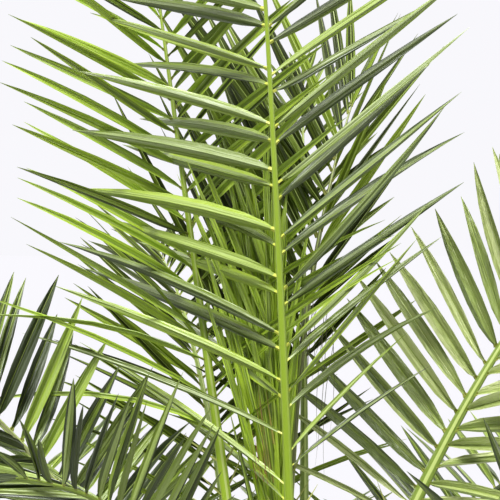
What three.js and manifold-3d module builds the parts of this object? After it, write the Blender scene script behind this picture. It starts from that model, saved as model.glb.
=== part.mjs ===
// Young date palm in a plain round pot.
// Millimetres, +Z up, +X to the viewer's right, -Y towards the viewer.
// The origin is the centre of the pot's flat underside.
import * as THREE from "three";
import { mergeVertices } from "three/addons/utils/BufferGeometryUtils.js";
import Module from "manifold-3d";

// ---------------------------------------------------------------- driving dimensions

const CLEARANCE = 0.35; // between pieces that touch on the real plant

const POT = {
  height: 240,
  topRadius: 132,
  footRadius: 100,
  wall: 4,
  floor: 6,
  lipHeight: 26,
  lipProud: 5,
  footEdge: 3,
  facets: 48,
};

const SOIL = { top: 218, facets: 48 };

// The short bulb of old leaf bases that the fronds rise from: [height above soil, radius].
const STEM = {
  flare: [0, 60],
  waist: [20, 52],
  shoulder: [48, 49],
  collar: [68, 42],
  neck: [84, 31],
  crown: [96, 16],
  facets: 24,
};

// Where each whorl of stalks is seated: distance from the axis, height, and half
// width and half thickness of the stalk at its foot.
const WHORLS = {
  inner: { radius: 16, height: 300, halfWidth: 8, halfDepth: 4.5 },
  middle: { radius: 30, height: 283, halfWidth: 11, halfDepth: 5 },
  outer: { radius: 42, height: 264, halfWidth: 12, halfDepth: 5 },
};

const STALK = { halfWidth: 6, halfDepth: 4, taper: 0.7, sides: 8, steps: 6 };
const BLADE = {
  leaflet: 310, // longest leaflet of a full-size frond
  lift: 24, // how far the leaflets stand up from the flat, in degrees
  tipStart: 0.72, // from here on the leaflets close towards the tip
  tipClosing: 22, // by this many degrees
  rungs: 7, // steps along each half blade
  spineHalf: [3, 1.2], // half thickness at the rib, from stalk to tip
  edgeHalf: 0.6,
  split: 0.46, // where the blade is divided, as part of its own length
};
// Leaflet length along the blade: [place, part of the longest].
const LEAFLET_PROFILE = [
  [0, 0.72],
  [0.08, 0.93],
  [0.25, 1],
  [0.5, 0.97],
  [0.75, 0.84],
  [0.92, 0.62],
  [1, 0.42],
];
const PATH_STEPS = 60;
const TURN_DONE = 0.3; // a stalk has turned to its heading by this part of its length
const ROLL_DONE = 0.35; // and its blade has rolled over by this part

// The youngest frond in the middle, half open.
const SPEAR = {
  foot: [-1, 2, 301],
  tip: [-52, 20, 1080],
  halfWidth: [7, 9, 16, 22, 30, 36, 28, 8],
  halfDepth: [6, 6, 8, 10, 10, 8, 5, 1.6],
  sides: 10,
};

// seat: where the stalk stands on the stem. heading: the way the frond leans.
// Both count degrees from +X towards +Y. lean: from upright, at the foot and at the
// tip. bend: how late the arch comes. roll: turn of the blade about its own rib.
// bare: leafless part of the length. leaflet: part of the full leaflet length.
// spread: leaflet angle from the rib at the blade's foot and tip, and how late it closes.
// Where a row has them, skew opens one side and closes the other, longLow lengthens the
// lowest leaflets up to part narrow of the blade, and short scales each side.
const FRONDS = [
  {
    name: "front", whorl: "inner", seat: 300, heading: 238, lean: [3, 8], bend: 1.3,
    length: 1130, roll: 19, bare: 0.27, leaflet: 0.92, spread: [52, 70, 0.5],
    skew: 8, narrow: 0.42, longLow: [-0.3, 0.35],
  },
  {
    name: "left", whorl: "inner", seat: 160, heading: 144, lean: [10, 9.7], bend: 1.3,
    length: 1060, roll: -52, bare: 0.36, leaflet: 0.8, spread: [56, 56, 1],
    narrow: 0.4,
  },
  {
    name: "right", whorl: "inner", seat: 75, heading: 60, lean: [-2, 36], bend: 1.5,
    length: 860, roll: -4, bare: 0.42, leaflet: 1.35, spread: [32, 40, 1],
    short: [1, 0.6],
  },
  {
    name: "west", whorl: "middle", seat: 190, heading: 178, lean: [26, 62], bend: 1.3,
    length: 860, roll: -36, bare: 0.34, leaflet: 0.58, spread: [84, 48, 0.7],
  },
  {
    name: "east", whorl: "middle", seat: 22, heading: 12, lean: [19, 46], bend: 1.3,
    length: 900, roll: 45, bare: 0.36, leaflet: 0.68, spread: [88, 40, 0.5],
  },
  {
    name: "southwest", whorl: "middle", seat: 244, heading: 234, lean: [16, 78], bend: 1.3,
    length: 620, roll: 28, bare: 0.58, leaflet: 0.5, spread: [62, 50, 1],
    longLow: [-0.15, -0.15],
  },
  {
    name: "north", whorl: "middle", seat: 118, heading: 104, lean: [24, 78], bend: 1.3,
    length: 980, roll: 0, bare: 0.3, leaflet: 0.75, spread: [66, 38, 1.3],
  },
  {
    name: "north_high", whorl: "middle", seat: 62, heading: 88, lean: [10, 44], bend: 1.3,
    length: 1000, roll: 0, bare: 0.3, leaflet: 0.55, spread: [60, 36, 1.3],
  },
  {
    name: "southeast", whorl: "middle", seat: 316, heading: 318, lean: [30, 100], bend: 1.3,
    length: 900, roll: 0, bare: 0.32, leaflet: 0.7, spread: [70, 44, 1.3],
  },
  {
    name: "low_southwest", whorl: "outer", seat: 216, heading: 208, lean: [44, 112], bend: 1.3,
    length: 800, roll: 0, bare: 0.3, leaflet: 0.6, spread: [70, 42, 1.3],
  },
  {
    name: "low_south", whorl: "outer", seat: 270, heading: 274, lean: [40, 112], bend: 1.3,
    length: 780, roll: 0, bare: 0.3, leaflet: 0.6, spread: [70, 42, 1.3],
  },
  {
    name: "low_east", whorl: "outer", seat: 342, heading: 345, lean: [46, 108], bend: 1.3,
    length: 800, roll: 0, bare: 0.3, leaflet: 0.62, spread: [70, 42, 1.3],
  },
  {
    name: "low_northeast", whorl: "outer", seat: 48, heading: 52, lean: [40, 104], bend: 1.3,
    length: 820, roll: 0, bare: 0.3, leaflet: 0.64, spread: [70, 42, 1.3],
  },
  {
    name: "low_north", whorl: "outer", seat: 89, heading: 84, lean: [52, 114], bend: 1.3,
    length: 780, roll: 0, bare: 0.3, leaflet: 0.6, spread: [70, 42, 1.3],
  },
  {
    name: "low_northwest", whorl: "outer", seat: 131, heading: 126, lean: [38, 106], bend: 1.3,
    length: 820, roll: 0, bare: 0.3, leaflet: 0.64, spread: [70, 42, 1.3],
  },
  {
    name: "low_west", whorl: "outer", seat: 174, heading: 168, lean: [52, 116], bend: 1.3,
    length: 760, roll: 0, bare: 0.3, leaflet: 0.58, spread: [70, 42, 1.3],
  },
];
const HABIT = { skew: 0, narrow: 0.2, longLow: [0.35, 0.35], short: [1, 1] };

// ---------------------------------------------------------------- materials

function finish(color, roughness) {
  return new THREE.MeshStandardMaterial({ color, roughness, metalness: 0 });
}

const MATERIALS = {
  pot: finish(0x4b4c4b, 0.7),
  soil: finish(0x3a2b20, 0.95),
  stem: finish(0x7a5f3f, 0.9),
  stalk: finish(0x86a03c, 0.5),
  spear: finish(0x6f9a2a, 0.5),
  blade: finish(0x4c7030, 0.45),
};

// ---------------------------------------------------------------- solids

const wasm = await Module();
wasm.setup();

function solidOf(geometry) {
  geometry.deleteAttribute("normal");
  geometry.deleteAttribute("uv");
  const merged = mergeVertices(geometry, 1e-4);
  const vertProperties = new Float32Array(merged.attributes.position.array);
  const triVerts = new Uint32Array(merged.index.array);
  return new wasm.Manifold(new wasm.Mesh({ numProp: 3, vertProperties, triVerts }));
}

function geometryOf(solid) {
  const mesh = solid.getMesh();
  const geometry = new THREE.BufferGeometry();
  geometry.setAttribute("position", new THREE.BufferAttribute(mesh.vertProperties, 3));
  geometry.setIndex(new THREE.BufferAttribute(mesh.triVerts, 1));
  geometry.computeVertexNormals();
  return geometry;
}

function warp(geometry, place) {
  const position = geometry.attributes.position;
  const vertex = new THREE.Vector3();
  for (let index = 0; index < position.count; index += 1) {
    vertex.fromBufferAttribute(position, index);
    const moved = place(vertex);
    position.setXYZ(index, moved.x, moved.y, moved.z);
  }
  return geometry;
}

// A closed profile of [radius, height] pairs turned about the Z axis.
function turned(profile, facets) {
  const points = profile.map(([radius, height]) => new THREE.Vector2(radius, height));
  return new THREE.LatheGeometry(points, facets).rotateX(Math.PI / 2);
}

// A slab two cells wide and some rows long: x from -1 to 1, y from 0 to 1, z from -1 to 1.
// Its upper and lower faces are cut into triangles the same way, so that a thin slab
// stays sound when it is warped.
function slabGeometry(rows) {
  const positions = [];
  const triangles = [];
  const corner = (row, column, layer) => (row * 3 + column) * 2 + layer;
  const addQuad = (a, b, c, d) => triangles.push(a, b, c, a, c, d);
  for (let row = 0; row <= rows; row += 1) {
    for (const x of [-1, 0, 1]) positions.push(x, row / rows, -1, x, row / rows, 1);
  }
  for (let row = 0; row < rows; row += 1) {
    for (const column of [0, 1]) {
      const corners = [
        [row, column],
        [row, column + 1],
        [row + 1, column + 1],
        [row + 1, column],
      ];
      const [a, b, c, d] = corners.map((at) => corner(...at, 1));
      addQuad(a, b, c, d);
      addQuad(a - 1, d - 1, c - 1, b - 1);
    }
    addQuad(corner(row, 0, 0), corner(row, 0, 1), corner(row + 1, 0, 1), corner(row + 1, 0, 0));
    addQuad(corner(row, 2, 0), corner(row + 1, 2, 0), corner(row + 1, 2, 1), corner(row, 2, 1));
  }
  for (const side of [0, 1]) {
    const foot = [corner(0, side, 0), corner(0, side + 1, 0), corner(0, side + 1, 1)];
    addQuad(...foot, corner(0, side, 1));
    const tip = [corner(rows, side, 0), corner(rows, side, 1), corner(rows, side + 1, 1)];
    addQuad(...tip, corner(rows, side + 1, 0));
  }
  const geometry = new THREE.BufferGeometry();
  geometry.setAttribute("position", new THREE.Float32BufferAttribute(positions, 3));
  geometry.setIndex(triangles);
  return geometry;
}

function largestPart(solid) {
  const parts = solid.decompose();
  parts.sort((a, b) => b.volume() - a.volume());
  return parts[0];
}

// ---------------------------------------------------------------- pot, soil and stem

function potGeometry() {
  const { height, topRadius, footRadius, wall, floor, lipHeight, lipProud, footEdge } = POT;
  const lipFoot = height - lipHeight;
  const radiusAt = (z) => THREE.MathUtils.mapLinear(z, 0, height, footRadius, topRadius);
  return turned(
    [
      [0, 0],
      [footRadius - footEdge, 0],
      [radiusAt(footEdge), footEdge],
      [radiusAt(lipFoot), lipFoot],
      [radiusAt(lipFoot) + lipProud, lipFoot],
      [topRadius + lipProud, height],
      [topRadius - wall, height],
      [radiusAt(floor) - wall, floor],
      [0, floor],
    ],
    POT.facets,
  );
}

function soilGeometry() {
  const { height, topRadius, footRadius, wall, floor } = POT;
  const facetSlack = 1 / Math.cos(Math.PI / POT.facets);
  const innerAt = (z) => THREE.MathUtils.mapLinear(z, 0, height, footRadius, topRadius) - wall;
  const bottom = floor + CLEARANCE;
  return turned(
    [
      [0, bottom],
      [innerAt(bottom) - CLEARANCE * facetSlack, bottom],
      [innerAt(SOIL.top) - CLEARANCE * facetSlack, SOIL.top],
      [0, SOIL.top],
    ],
    SOIL.facets,
  );
}

function stemSolid(seated) {
  const foot = SOIL.top + CLEARANCE;
  const rings = [STEM.flare, STEM.waist, STEM.shoulder, STEM.collar, STEM.neck, STEM.crown];
  const profile = rings.map(([height, radius]) => [radius, foot + height]);
  const top = foot + STEM.crown[0];
  const whole = solidOf(turned([[0, foot], ...profile, [0, top]], STEM.facets));
  return largestPart(seated.reduce((stem, piece) => stem.subtract(piece), whole));
}

// ---------------------------------------------------------------- fronds

function smooth(value) {
  return THREE.MathUtils.smoothstep(value, 0, 1);
}

function profileAt(table, place) {
  const last = table.findIndex(([start]) => start >= place);
  if (last <= 0) return table[0][1];
  const [fromPlace, fromValue] = table[last - 1];
  const [toPlace, toValue] = table[last];
  return THREE.MathUtils.mapLinear(place, fromPlace, toPlace, fromValue, toValue);
}

// Directions at a place along a frond: along the rib, across the blade, and out of its
// upper face.
function axesAt(frond, place) {
  const { degToRad, euclideanModulo, lerp } = THREE.MathUtils;
  const turn = euclideanModulo(frond.heading - frond.seat + 180, 360) - 180;
  const azimuth = degToRad(frond.seat + turn * smooth(place / TURN_DONE));
  const bent = Math.max(place, 0) ** frond.bend;
  const lean = degToRad(lerp(frond.lean[0], frond.lean[1], bent));
  const outward = new THREE.Vector3(Math.cos(azimuth), Math.sin(azimuth), 0);
  const upright = new THREE.Vector3(0, 0, 1);
  const along = outward.clone().multiplyScalar(Math.sin(lean));
  along.addScaledVector(upright, Math.cos(lean));
  const face = outward.multiplyScalar(-Math.cos(lean));
  face.addScaledVector(upright, Math.sin(lean));
  const across = new THREE.Vector3().crossVectors(along, face);
  const roll = degToRad(frond.roll * smooth(place / ROLL_DONE));
  face.applyAxisAngle(along, roll);
  across.applyAxisAngle(along, roll);
  return { along, across, face };
}

function pathOf(frond) {
  const whorl = WHORLS[frond.whorl];
  const seat = THREE.MathUtils.degToRad(frond.seat);
  const point = new THREE.Vector3(
    whorl.radius * Math.cos(seat),
    whorl.radius * Math.sin(seat),
    whorl.height,
  );
  const points = [point.clone()];
  for (let step = 0; step < PATH_STEPS; step += 1) {
    const { along } = axesAt(frond, (step + 0.5) / PATH_STEPS);
    point.addScaledVector(along, frond.length / PATH_STEPS);
    points.push(point.clone());
  }
  return points;
}

function pointOn(path, place) {
  const reach = THREE.MathUtils.clamp(place, 0, 1) * PATH_STEPS;
  const step = Math.min(Math.floor(reach), PATH_STEPS - 1);
  return path[step].clone().lerp(path[step + 1], reach - step);
}

// A tapering limb from the frond's foot to its lowest leaflets. grow makes it larger
// all round, for the room that its neighbours leave it.
function stalkSolid(frond, path, grow) {
  const whorl = WHORLS[frond.whorl];
  const end = frond.bare - (CLEARANCE - grow) / frond.length;
  const start = -grow / frond.length;
  const unit = new THREE.CylinderGeometry(1, 1, 1, STALK.sides, STALK.steps);
  return solidOf(
    warp(unit, ({ x, y, z }) => {
      const part = y + 0.5;
      const place = THREE.MathUtils.lerp(start, end, part);
      const { along, across, face } = axesAt(frond, place);
      const halfWidth = THREE.MathUtils.lerp(whorl.halfWidth, STALK.halfWidth, part ** STALK.taper);
      const halfDepth = THREE.MathUtils.lerp(whorl.halfDepth, STALK.halfDepth, part);
      const point = pointOn(path, place);
      if (place < 0) point.addScaledVector(along, place * frond.length);
      point.addScaledVector(across, x * (halfWidth + grow));
      return point.addScaledVector(face, z * (halfDepth + grow));
    }),
  );
}

// Length of the leaflets at a part of the blade, and their angle from the rib. The side
// is -1 or 1.
function leafletAt(frond, part, side) {
  const [footAngle, tipAngle, late] = frond.spread;
  const closing = BLADE.tipClosing * smooth((part - BLADE.tipStart) / (1 - BLADE.tipStart));
  const open = THREE.MathUtils.lerp(footAngle, tipAngle, part ** late);
  const pick = side > 0 ? 1 : 0;
  const low = 1 - smooth(part / frond.narrow);
  const scale = (1 + low * frond.longLow[pick]) * frond.short[pick];
  return {
    angle: THREE.MathUtils.degToRad(open + frond.skew * side - closing),
    reach: BLADE.leaflet * frond.leaflet * profileAt(LEAFLET_PROFILE, part) * scale,
  };
}

// One stretch of the blade: a thin roof whose rungs run the way the leaflets do, from
// the rib out to their tips.
function bladeSolid(frond, path, from, to, grow) {
  const { degToRad, lerp } = THREE.MathUtils;
  const lift = degToRad(BLADE.lift);
  const leafy = frond.length * (1 - frond.bare);
  const unit = slabGeometry(BLADE.rungs);
  return solidOf(
    warp(unit, ({ x, y, z }) => {
      const part = lerp(from - grow / leafy, to + grow / leafy, y);
      const place = lerp(frond.bare, 1, part);
      const { along, across, face } = axesAt(frond, place);
      const within = THREE.MathUtils.clamp(part, 0, 1);
      const { angle, reach } = leafletAt(frond, within, Math.sign(x));
      const rung = along.clone().multiplyScalar(Math.cos(angle));
      rung.addScaledVector(across, Math.sign(x) * Math.sin(angle) * Math.cos(lift));
      rung.addScaledVector(face, Math.sin(angle) * Math.sin(lift));
      const spine = lerp(BLADE.spineHalf[0], BLADE.spineHalf[1], part);
      const half = lerp(spine, BLADE.edgeHalf, Math.abs(x)) + grow;
      const point = pointOn(path, place);
      point.addScaledVector(rung, Math.abs(x) * (reach + 2 * grow));
      return point.addScaledVector(face, z * half);
    }),
  );
}

function spearSolid(grow) {
  const foot = new THREE.Vector3(...SPEAR.foot);
  const tip = new THREE.Vector3(...SPEAR.tip);
  const along = tip.clone().sub(foot).normalize();
  const across = new THREE.Vector3(0, 1, 0).cross(along).normalize();
  const face = new THREE.Vector3().crossVectors(along, across);
  const steps = SPEAR.halfWidth.length - 1;
  const unit = new THREE.CylinderGeometry(1, 1, 1, SPEAR.sides, steps);
  return solidOf(
    warp(unit, ({ x, y, z }) => {
      const step = Math.round((y + 0.5) * steps);
      const point = foot.clone().lerp(tip, step / steps);
      point.addScaledVector(along, Math.sign(y) * grow);
      point.addScaledVector(across, -x * (SPEAR.halfWidth[step] + grow));
      return point.addScaledVector(face, z * (SPEAR.halfDepth[step] + grow));
    }),
  );
}

// ---------------------------------------------------------------- the plant

const palm = new THREE.Group();
const rooms = []; // the room round each living piece so far, which later ones leave free

function addMesh(name, geometry, material) {
  const mesh = new THREE.Mesh(geometry, material);
  mesh.name = name;
  palm.add(mesh);
}

function near(a, b) {
  const one = a.boundingBox();
  const two = b.boundingBox();
  return [0, 1, 2].every((axis) => one.min[axis] < two.max[axis] && two.min[axis] < one.max[axis]);
}

// Later pieces give way to earlier ones where leaves would cross.
function addPiece(name, makeSolid, material) {
  const whole = makeSolid(0);
  const room = makeSolid(CLEARANCE);
  const cutters = rooms.filter((other) => near(other, whole));
  const cut = cutters.reduce((solid, other) => solid.subtract(other), whole);
  addMesh(name, geometryOf(largestPart(cut)), material);
  rooms.push(room);
}

addMesh("pot", potGeometry(), MATERIALS.pot);
addMesh("soil", soilGeometry(), MATERIALS.soil);
addPiece("spear", spearSolid, MATERIALS.spear);

const fronds = FRONDS.map((row) => ({ ...HABIT, ...row }));
for (const frond of fronds) {
  const path = pathOf(frond);
  const makeStalk = (grow) => stalkSolid(frond, path, grow);
  addPiece(`${frond.name}_stalk`, makeStalk, MATERIALS.stalk);
}
const stalkRooms = [...rooms];
for (const frond of fronds) {
  const path = pathOf(frond);
  const gap = CLEARANCE / (frond.length * (1 - frond.bare));
  const makeInner = (grow) => bladeSolid(frond, path, 0, BLADE.split, grow);
  const makeOuter = (grow) => bladeSolid(frond, path, BLADE.split + gap * 2, 1, grow);
  addPiece(`${frond.name}_blade_inner`, makeInner, MATERIALS.blade);
  addPiece(`${frond.name}_blade_outer`, makeOuter, MATERIALS.blade);
}
addMesh("stem", geometryOf(stemSolid(stalkRooms)), MATERIALS.stem);

export default palm;
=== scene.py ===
"""A young date palm in a plain round pot: leaves, ribs, stem, soil and pot."""

import math
from types import SimpleNamespace

import bpy
import numpy as np
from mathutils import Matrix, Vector


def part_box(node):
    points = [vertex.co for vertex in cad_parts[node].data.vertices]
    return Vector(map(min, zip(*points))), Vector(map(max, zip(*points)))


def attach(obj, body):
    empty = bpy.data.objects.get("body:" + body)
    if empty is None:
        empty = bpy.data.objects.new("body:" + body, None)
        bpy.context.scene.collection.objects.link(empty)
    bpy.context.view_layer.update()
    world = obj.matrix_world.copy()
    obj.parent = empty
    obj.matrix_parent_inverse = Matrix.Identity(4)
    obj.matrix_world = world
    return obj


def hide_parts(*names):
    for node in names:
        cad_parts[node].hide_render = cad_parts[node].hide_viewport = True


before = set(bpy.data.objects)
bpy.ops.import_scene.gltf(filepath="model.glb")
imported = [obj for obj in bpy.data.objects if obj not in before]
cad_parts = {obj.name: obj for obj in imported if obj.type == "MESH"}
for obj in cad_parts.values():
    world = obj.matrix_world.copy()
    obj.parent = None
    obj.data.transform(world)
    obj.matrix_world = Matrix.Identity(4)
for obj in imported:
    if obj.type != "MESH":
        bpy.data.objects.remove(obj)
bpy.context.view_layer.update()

MM = 0.001
UP = np.array([0.0, 0.0, 1.0])

# Starting numbers of the random draws, so that every piece comes out the same each time.
SEEDS = {
    "leaflets": 100, "soil_lumps": 11, "soil_crumbs": 12, "stem_ridges": 21,
    "soil_grains": 31, "leaf_bases": 41, "stem_fibre": 51, "spines": 61, "threads": 71,
    "young_fibre": 81, "grain_shape": 4,
}

# ------------ the plant's own sizes

# Where each whorl of stalks is seated, in millimetres: distance from the axis, height, and
# half width of a stalk at its foot.
WHORLS = {
    "centre": (2, 301, 8),
    "inner": (16, 300, 8),
    "middle": (30, 283, 11),
    "outer": (42, 264, 12),
}
TURN_DONE = 0.3  # part of its length by which a frond has turned from its seat to its heading
ROLL_DONE = 0.35
PATH_STEPS = 60

LEAFLET_LENGTH = 310 * MM
LEAFLET_WIDTH = 17 * MM
# Length of the leaflets at places along a blade, as part of the longest.
LENGTH_PLACES = (0, 0.08, 0.25, 0.5, 0.75, 0.92, 1)
LENGTH_PARTS = (0.72, 0.93, 1, 0.97, 0.84, 0.62, 0.42)
TIP_START = 0.72  # from here the leaflets close towards the tip
TIP_CLOSING = 22  # degrees

# The fronds, in the same rows as the frame was built from. seat is where a stalk meets the
# stem and heading where it ends up pointing, in degrees about the axis. lean is the tilt
# from upright at foot and tip, bend how late the tilt comes, and roll a turn about the rib.
# length is in metres, and bare the part of it with no leaflets. leaflet and width are parts
# of a full-size leaflet. spread is a leaflet's angle to the rib at the foot and the tip of
# the blade, and how late it changes. skew opens one side and closes the other.
# With one value for each side of the rib: sag is the droop, short scales the length and
# broad the width. The lowest leaflets, up to part narrow of the blade, are narrower,
# long_low longer, and bright in the share glow: a painted glow, as of light shining through
# them. sparse is the share of leaflets missing at the foot of the blade, with none missing
# from part sparse_to on.
# weep is how far a few of the lowest leaflets droop beyond their sag. pitch is the step from
# pair to pair and gap the step within a pair, in millimetres. tumble is how far leaflets
# turn at random about their own length, lifts how far the upper and lower of a pair stand
# out of the blade's plane, and fold the least and most they are creased, from flat at 0.
# streak is how far apart the tones along a leaflet are, behind how many tones darker the
# lower of a pair is, as painted shade where it stands back in the other's shadow, and tones
# the shares of darkest, medium, light and bright leaflets.
# stout widens the rib. skin, foot and rib name materials.
FROND_HABIT = dict(
    bend=1.3, roll=0, bare=0.3, width=1.0, skew=0, sag=(0.06, 0.06), short=(1, 1),
    broad=(1, 1), narrow=0.2, long_low=(0.35, 0.35), glow=(1, 1), weep=0.3, sparse=(0, 0),
    sparse_to=0.4, pitch=50, gap=17, tumble=16, lifts=(14, 34), fold=(0.75, 1.15), streak=1,
    behind=0, stout=1, tones=(0.3, 0.4, 0.25, 0.05), skin="grown", foot="grown", rib="grown",
)
LOW_HABIT = dict(whorl="outer", spread=(70, 42, 1.3), width=1.05)
FROND_ROWS = [
    dict(name="front", whorl="inner", seat=300, heading=238, lean=(3, 8), length=1.13,
         roll=19, bare=0.27, leaflet=0.92, spread=(52, 70, 0.5), width=1.3, skew=8,
         sag=(0.03, 0.07), pitch=58, gap=18, narrow=0.42, long_low=(-0.3, 0.35),
         sparse=(0.7, 0.4), sparse_to=0.42, broad=(0.82, 1), glow=(0.2, 1), behind=1,
         tones=(0.05, 0.42, 0.43, 0.1), foot="young", rib="bright"),
    # The left frond leans to light and bright tones: painted backlight, light shining through its
    # leaflets.
    dict(name="left", whorl="inner", seat=160, heading=144, lean=(10.0, 9.7), length=1.06,
         roll=-52, bare=0.36, leaflet=0.8, spread=(56, 56, 1), pitch=42, gap=15, narrow=0.4,
         sparse=(0.8, 0.2), sparse_to=0.45, tumble=28, weep=0.6,
         tones=(0.0, 0.08, 0.37, 0.55), skin="fresh", rib="bright"),
    # The right, north and north_high fronds at the back wear the dark skin of painted shade.
    dict(name="right", whorl="inner", seat=75, heading=60, lean=(-2, 36), bend=1.5,
         length=0.86, roll=-4, bare=0.42, leaflet=1.35, spread=(32, 40, 1), width=1.25,
         sag=(0.02, 0.02), pitch=44, short=(1, 0.6), sparse=(0, 0.95), sparse_to=1.3,
         broad=(1, 0.75), fold=(0.4, 0.7), tumble=10, tones=(0.3, 0.45, 0.2, 0.05),
         skin="shaded", rib="dull"),
    dict(name="west", whorl="middle", seat=190, heading=178, lean=(26, 62), length=0.86,
         roll=-36, bare=0.34, leaflet=0.58, spread=(84, 48, 0.7), width=1.45,
         sag=(0.03, 0.03), pitch=37, tumble=22, glow=(0, 0), streak=2,
         tones=(0.28, 0.34, 0.26, 0.12), skin="sleek", rib="dull"),
    dict(name="east", whorl="middle", seat=22, heading=12, lean=(19, 46), length=0.9,
         roll=45, bare=0.36, leaflet=0.68, spread=(88, 40, 0.5), width=1.55,
         sag=(0.02, 0.03), gap=21, stout=1.5, tones=(0.0, 0.25, 0.45, 0.3), skin="waxy"),
    dict(name="southwest", whorl="middle", seat=244, heading=234, lean=(16, 78),
         length=0.62, roll=28, bare=0.58, leaflet=0.5, spread=(62, 50, 1), width=0.95,
         sag=(0.02, 0.04), pitch=34, gap=15, long_low=(-0.15, -0.15), tumble=42, glow=(0, 0),
         streak=2, tones=(0.32, 0.3, 0.24, 0.14), skin="sleek"),
    dict(name="north", whorl="middle", seat=118, heading=104, lean=(24, 78), length=0.98,
         leaflet=0.75, spread=(66, 38, 1.3), skin="shaded"),
    dict(name="north_high", whorl="middle", seat=62, heading=88, lean=(10, 44),
         length=1.0, leaflet=0.55, spread=(60, 36, 1.3), width=0.9, sparse=(0.2, 0.9),
         sparse_to=0.9, skin="shaded"),
    dict(name="southeast", whorl="middle", seat=316, heading=318, lean=(30, 100),
         length=0.9, bare=0.32, leaflet=0.7, spread=(70, 44, 1.3)),
    dict(LOW_HABIT, name="low_southwest", seat=216, heading=208, lean=(44, 112),
         length=0.8, leaflet=0.6, rib="dull"),
    dict(LOW_HABIT, name="low_south", seat=270, heading=274, lean=(40, 112), length=0.78,
         leaflet=0.6),
    dict(LOW_HABIT, name="low_east", seat=342, heading=345, lean=(46, 108), length=0.8,
         leaflet=0.62),
    dict(LOW_HABIT, name="low_northeast", seat=48, heading=52, lean=(40, 104), length=0.82,
         leaflet=0.64),
    dict(LOW_HABIT, name="low_north", seat=89, heading=84, lean=(52, 114), length=0.78,
         leaflet=0.6, rib="dull"),
    dict(LOW_HABIT, name="low_northwest", seat=131, heading=126, lean=(38, 106),
         length=0.82, leaflet=0.64),
    dict(LOW_HABIT, name="low_west", seat=174, heading=168, lean=(52, 116), length=0.76,
         leaflet=0.58, rib="dull"),
    # The young spear's own lime green, lifted to mostly bright tones as painted light against the
    # shade of the other fronds.
    dict(name="spear", whorl="centre", seat=120, heading=120, lean=(1.5, 3), bend=1,
         length=0.6, roll=-30, bare=0.32, leaflet=1.08, spread=(2, 12, 1), width=0.72,
         skew=-6, sag=(0.05, 0.03), pitch=32, gap=12, narrow=0, short=(1, 0.75),
         lifts=(-24, -4), tones=(0.0, 0.05, 0.25, 0.7), skin="fresh", foot="young",
         rib="bright"),
]
FRONDS = [SimpleNamespace(**{**FROND_HABIT, **row}) for row in FROND_ROWS]

# ------------ materials


def set_values(node, **values):
    """Uniform values for the sockets of a node, by their names."""
    for name, value in values.items():
        node.inputs[name.replace("_", " ")].default_value = value
    return node


def add_node(owner, kind, **values):
    return set_values(owner.node_tree.nodes.new(f"ShaderNode{kind}"), **values)


def join_nodes(owner, *joins):
    """Links from an output of one node to an input of another."""
    for source, output, target, socket in joins:
        owner.node_tree.links.new(source.outputs[output], target.inputs[socket])


def plain_material(name, color, roughness, **values):
    material = bpy.data.materials.new(name)
    material.use_nodes = True
    set_values(material.node_tree.nodes["Principled BSDF"], Base_Color=(*color, 1.0),
               Roughness=roughness, **values)
    return material


def add_relief(material, scale, strength, distance, source="UV", detail=2.0):
    """Fine relief and uneven gloss from one stretched noise."""
    shader = material.node_tree.nodes["Principled BSDF"]
    middle = shader.inputs["Roughness"].default_value
    place = add_node(material, "TexCoord")
    stretch = add_node(material, "Mapping", Scale=scale)
    noise = add_node(material, "TexNoise", Scale=1.0, Detail=detail)
    bump = add_node(material, "Bump", Strength=strength, Distance=distance)
    gloss = add_node(material, "MapRange", To_Min=max(0.05, middle - 0.1),
                     To_Max=min(1.0, middle + 0.12))
    join_nodes(material, (place, source, stretch, "Vector"),
               (stretch, "Vector", noise, "Vector"), (noise, "Fac", bump, "Height"),
               (bump, "Normal", shader, "Normal"), (noise, "Fac", gloss, "Value"),
               (gloss, "Result", shader, "Roughness"))
    return material


def mottled_material(name, color, second, roughness, scale, relief):
    """Two tones mixed by a fine noise, with relief from a finer one."""
    material = plain_material(name, color, roughness)
    shader = material.node_tree.nodes["Principled BSDF"]
    place = add_node(material, "TexCoord")
    broad = add_node(material, "TexNoise", Scale=scale, Detail=4)
    blend = add_node(material, "ValToRGB")
    for element, position, tone in zip(blend.color_ramp.elements, (0.35, 0.70), (color, second)):
        element.position = position
        element.color = (*tone, 1)
    join_nodes(material, (place, "Object", broad, "Vector"), (broad, "Fac", blend, "Fac"),
               (blend, "Color", shader, "Base Color"))
    return add_relief(material, (scale * 6,) * 3, 0.6, relief, "Object", 3.0)


def leaf_material(name, color, roughness, sheen, grain):
    """Waxy leaf skin with fine veins along the leaflet."""
    material = plain_material(name, color, roughness, Specular_IOR_Level=sheen)
    return add_relief(material, grain, 1.0, 6 * MM, detail=3.0)


def rib_material(name, color, roughness):
    return add_relief(plain_material(name, color, roughness), (420, 3, 1), 0.9, 1.5 * MM)
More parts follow.
